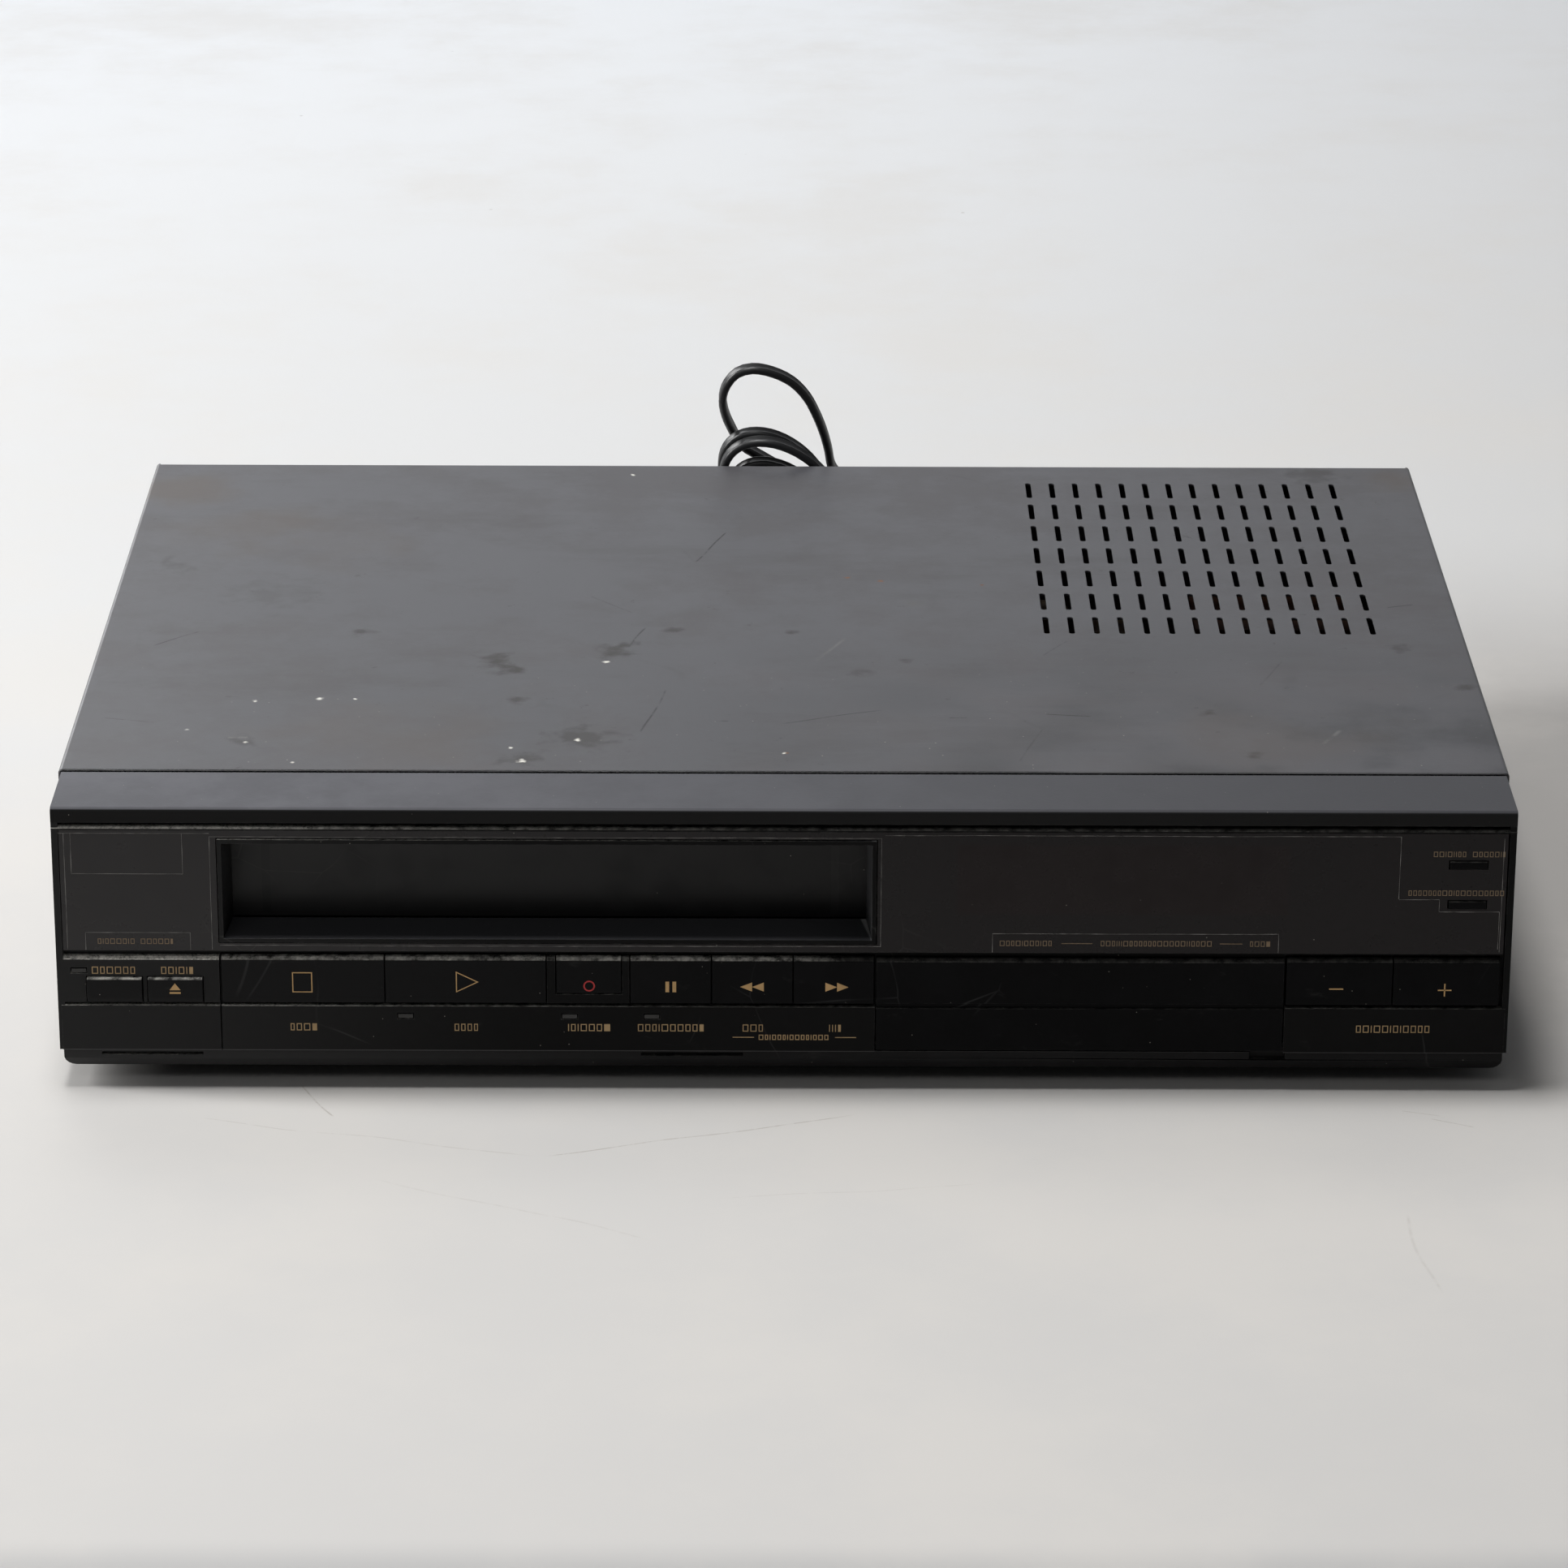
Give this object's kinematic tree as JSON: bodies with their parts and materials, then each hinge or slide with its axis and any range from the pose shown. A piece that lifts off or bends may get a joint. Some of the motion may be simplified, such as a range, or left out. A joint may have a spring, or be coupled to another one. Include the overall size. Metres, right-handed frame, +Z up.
{
  "type": "front-loading video cassette recorder",
  "caption": "Slim dark video cassette recorder with a front cassette slot, piano-style function keys, fold-down timer door, tape deck inside and a flat mains lead stored behind.",
  "frame": {"origin": "under the middle of the recorder without its lead, on the surface it stands on", "axes": "+X to the right seen from the front, +Y from the front to the back, +Z up"},
  "size_m": [0.4406, 0.3839, 0.1254],
  "materials": {
    "cover_paint": "dark blue-grey satin paint",
    "panel_plastic": "near-black moulded plastic",
    "key_plastic": "near-black moulded plastic, smoother than the panel",
    "smoked_window": "glossy smoked acrylic",
    "lamp_lens": "grey lens of an unlit lamp",
    "display_glass": "dark vacuum display",
    "board_laminate": "brown circuit laminate",
    "plated_steel": "zinc-plated steel sheet",
    "polished_steel": "polished steel",
    "machined_aluminium": "turned aluminium",
    "white_plastic": "off-white plastic",
    "transformer_steel": "varnished core and winding",
    "soft_rubber": "black rubber",
    "lead_jacket": "black flexible jacket",
    "black_screw": "blackened steel"
  },
  "bodies": {
    "chassis": {"top_cover": "cover_paint", "front_panel": "panel_plastic", "fascia_window": "smoked_window", "operate_lamp": "lamp_lens", "function_lamps": "lamp_lens", "display_tube": "display_glass", "control_board": "board_laminate", "base_frame": "panel_plastic", "rear_panel": "cover_paint", "foot_front_left": "soft_rubber", "foot_front_right": "soft_rubber", "foot_rear_left": "soft_rubber", "foot_rear_right": "soft_rubber", "cover_screw_left_front": "black_screw", "cover_screw_left_rear": "black_screw", "cover_screw_right_front": "black_screw", "cover_screw_right_rear": "black_screw", "deck_plate": "plated_steel", "left_holder_frame": "plated_steel", "right_holder_frame": "plated_steel", "lower_drum": "machined_aluminium", "erase_head": "polished_steel", "audio_head": "polished_steel", "loading_motor": "plated_steel", "main_board": "board_laminate", "power_transformer": "transformer_steel", "tuner_box": "plated_steel", "strain_relief": "soft_rubber", "power_cord": "lead_jacket", "cord_hank": "lead_jacket", "cord_tail": "lead_jacket", "power_plug": "lead_jacket"},
    "cassette_door": {"cassette_door": "smoked_window"},
    "timer_door": {"timer_door": "key_plastic"},
    "stop_key": {"stop_key": "key_plastic"},
    "play_key": {"play_key": "key_plastic"},
    "record_key": {"record_key": "key_plastic"},
    "pause_key": {"pause_key": "key_plastic"},
    "rewind_key": {"rewind_key": "key_plastic"},
    "fast_forward_key": {"fast_forward_key": "key_plastic"},
    "channel_down_key": {"channel_down_key": "key_plastic"},
    "channel_up_key": {"channel_up_key": "key_plastic"},
    "operate_button": {"operate_button": "key_plastic"},
    "eject_button": {"eject_button": "key_plastic"},
    "counter_reset_button": {"counter_reset_button": "key_plastic"},
    "display_button": {"display_button": "key_plastic"},
    "tracking_knob": {"tracking_knob": "key_plastic"},
    "timer_program_key": {"timer_program_key": "key_plastic"},
    "holder_slider": {"holder_slider": "plated_steel"},
    "cassette_holder": {"cassette_holder": "plated_steel"},
    "upper_drum": {"upper_drum": "machined_aluminium"},
    "supply_reel": {"supply_reel": "white_plastic"},
    "takeup_reel": {"takeup_reel": "white_plastic"},
    "capstan": {"capstan": "polished_steel"},
    "pinch_arm": {"pinch_arm": "plated_steel"},
    "pinch_roller": {"pinch_roller": "soft_rubber"},
    "supply_guide": {"supply_guide": "polished_steel"},
    "takeup_guide": {"takeup_guide": "polished_steel"},
    "tension_arm": {"tension_arm": "plated_steel"},
    "loading_cam": {"loading_cam": "white_plastic"}
  },
  "joints": [
    {"name": "cassette_door_swing", "type": "hinge", "parent": "chassis", "child": "cassette_door", "pos_m": [-0.0703, -0.15255, 0.0782], "axis": [1, 0, 0], "range_deg": [0, 88], "stiffness_Nm_per_rad": 0.001, "springref_deg": -17.19},
    {"name": "timer_door_fold", "type": "hinge", "parent": "chassis", "child": "timer_door", "pos_m": [0.0886, -0.16935, 0.0144], "axis": [1, 0, 0], "range_deg": [0, 90]},
    {"name": "stop_press", "type": "slide", "parent": "chassis", "child": "stop_key", "axis": [0, 1, 0], "range_m": [0, 0.0012], "stiffness_N_per_m": 700},
    {"name": "play_press", "type": "slide", "parent": "chassis", "child": "play_key", "axis": [0, 1, 0], "range_m": [0, 0.0012], "stiffness_N_per_m": 700},
    {"name": "record_press", "type": "slide", "parent": "chassis", "child": "record_key", "axis": [0, 1, 0], "range_m": [0, 0.0012], "stiffness_N_per_m": 700},
    {"name": "pause_press", "type": "slide", "parent": "chassis", "child": "pause_key", "axis": [0, 1, 0], "range_m": [0, 0.0012], "stiffness_N_per_m": 700},
    {"name": "rewind_press", "type": "slide", "parent": "chassis", "child": "rewind_key", "axis": [0, 1, 0], "range_m": [0, 0.0012], "stiffness_N_per_m": 700},
    {"name": "fast_forward_press", "type": "slide", "parent": "chassis", "child": "fast_forward_key", "axis": [0, 1, 0], "range_m": [0, 0.0012], "stiffness_N_per_m": 700},
    {"name": "channel_down_press", "type": "slide", "parent": "chassis", "child": "channel_down_key", "axis": [0, 1, 0], "range_m": [0, 0.0012], "stiffness_N_per_m": 700},
    {"name": "channel_up_press", "type": "slide", "parent": "chassis", "child": "channel_up_key", "axis": [0, 1, 0], "range_m": [0, 0.0012], "stiffness_N_per_m": 700},
    {"name": "operate_press", "type": "slide", "parent": "chassis", "child": "operate_button", "axis": [0, 1, 0], "range_m": [0, 0.0012], "stiffness_N_per_m": 600},
    {"name": "eject_press", "type": "slide", "parent": "chassis", "child": "eject_button", "axis": [0, 1, 0], "range_m": [0, 0.0012], "stiffness_N_per_m": 600},
    {"name": "counter_reset_press", "type": "slide", "parent": "chassis", "child": "counter_reset_button", "axis": [0, 1, 0], "range_m": [0, 0.0008], "stiffness_N_per_m": 400},
    {"name": "display_press", "type": "slide", "parent": "chassis", "child": "display_button", "axis": [0, 1, 0], "range_m": [0, 0.0008], "stiffness_N_per_m": 400},
    {"name": "timer_program_press", "type": "slide", "parent": "chassis", "child": "timer_program_key", "axis": [0, 1, 0], "range_m": [0, 0.001], "stiffness_N_per_m": 400},
    {"name": "tracking_turn", "type": "hinge", "parent": "chassis", "child": "tracking_knob", "pos_m": [0.128, -0.1586, 0.0285], "axis": [0, 1, 0], "range_deg": [-140, 140]},
    {"name": "carriage_in", "type": "slide", "parent": "chassis", "child": "holder_slider", "axis": [0, 1, 0], "range_m": [0, 0.046]},
    {"name": "carriage_down", "type": "slide", "parent": "holder_slider", "child": "cassette_holder", "axis": [0, 0, -1], "range_m": [0, 0.018]},
    {"name": "upper_drum_spin", "type": "hinge", "parent": "chassis", "child": "upper_drum", "pos_m": [-0.0703, 0.0254, 0.0385], "axis": [0.1028, 0, 0.9947], "continuous": true},
    {"name": "supply_reel_spin", "type": "hinge", "parent": "chassis", "child": "supply_reel", "pos_m": [-0.11655, -0.0816, 0.03], "axis": [0, 0, 1], "continuous": true},
    {"name": "takeup_reel_spin", "type": "hinge", "parent": "chassis", "child": "takeup_reel", "pos_m": [-0.02405, -0.0816, 0.03], "axis": [0, 0, 1], "continuous": true},
    {"name": "capstan_spin", "type": "hinge", "parent": "chassis", "child": "capstan", "pos_m": [-0.0043, -0.0126, 0.02], "axis": [0, 0, 1], "continuous": true},
    {"name": "loading_cam_turn", "type": "hinge", "parent": "chassis", "child": "loading_cam", "pos_m": [-0.0703, 0.0654, 0.02], "axis": [0, 0, 1], "range_deg": [0, 170]},
    {"name": "pinch_swing", "type": "hinge", "parent": "chassis", "child": "pinch_arm", "pos_m": [0.0197, 0.0074, 0.0355], "axis": [0, 0, 1], "range_deg": [0, 32]},
    {"name": "pinch_roller_spin", "type": "hinge", "parent": "pinch_arm", "child": "pinch_roller", "pos_m": [-0.00494, 0.00852, 0.046], "axis": [0, 0, 1], "continuous": true},
    {"name": "supply_guide_travel", "type": "slide", "parent": "chassis", "child": "supply_guide", "axis": [-0.2607, 0.9654, 0], "range_m": [0, 0.05179]},
    {"name": "takeup_guide_travel", "type": "slide", "parent": "chassis", "child": "takeup_guide", "axis": [0.2607, 0.9654, 0], "range_m": [0, 0.05179]},
    {"name": "tension_swing", "type": "hinge", "parent": "chassis", "child": "tension_arm", "pos_m": [-0.1523, -0.0206, 0.029], "axis": [0, 0, 1], "range_deg": [0, 15]}
  ],
  "couplings": [
    {"joint": "supply_guide_travel", "follows": "loading_cam_turn", "m_per_rad": 0.017455},
    {"joint": "takeup_guide_travel", "follows": "loading_cam_turn", "m_per_rad": 0.017455},
    {"joint": "pinch_swing", "follows": "loading_cam_turn", "ratio": 0.18824},
    {"joint": "tension_swing", "follows": "loading_cam_turn", "ratio": 0.088235}
  ]
}
